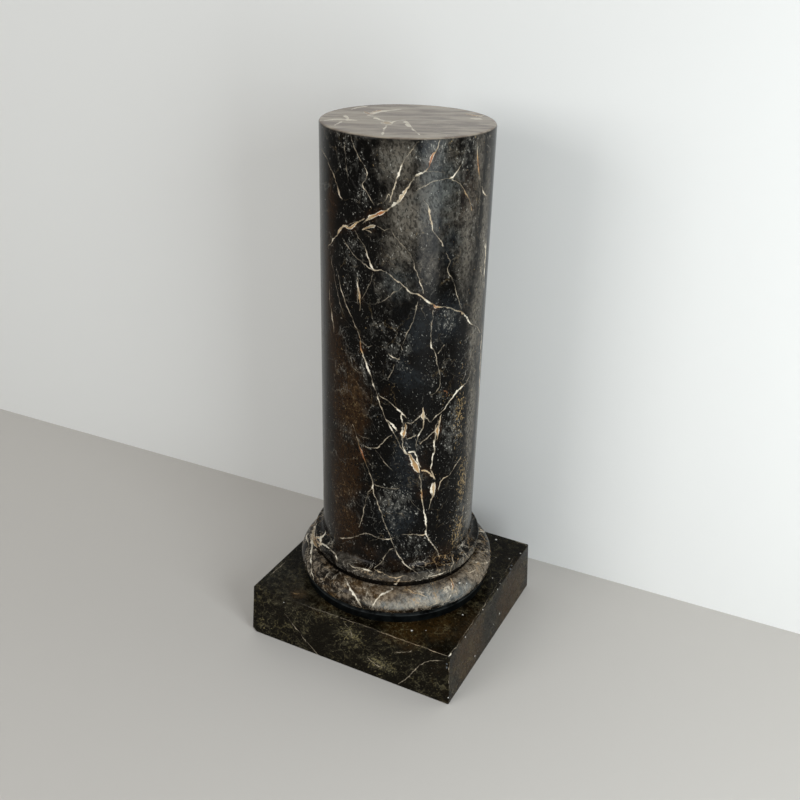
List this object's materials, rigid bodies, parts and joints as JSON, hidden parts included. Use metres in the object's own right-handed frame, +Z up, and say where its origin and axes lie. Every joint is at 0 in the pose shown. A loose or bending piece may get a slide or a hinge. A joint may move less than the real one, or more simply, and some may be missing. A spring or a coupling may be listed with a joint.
{
  "type": "display column",
  "caption": "Round display column on a moulded base and a low, nearly square plinth, painted to look like dark veined marble.",
  "frame": {"origin": "middle of the plinth's underside, on the floor", "axes": "+Z up along the shaft, the plinth's front faces -Y"},
  "size_m": [0.3708, 0.3498, 0.853],
  "materials": {
    "painted_marble": "varnished faux marble paint, satin gloss",
    "painted_disc": "black paint, satin",
    "painted_plinth": "varnished dark green marble paint, satin",
    "bare_wood": "bare softwood",
    "screw_steel": "zinc plated"
  },
  "bodies": {
    "root": {"shaft_tube": "painted_marble", "top_disc": "painted_marble", "collar_moulding": "painted_marble", "torus_moulding": "painted_marble", "base_disc": "painted_disc", "plinth_top_board": "painted_plinth", "plinth_front_board": "painted_plinth", "plinth_back_board": "painted_plinth", "plinth_left_board": "painted_plinth", "plinth_right_board": "painted_plinth", "plinth_corner_blocks": "bare_wood", "base_screws": "screw_steel"}
  },
  "joints": []
}
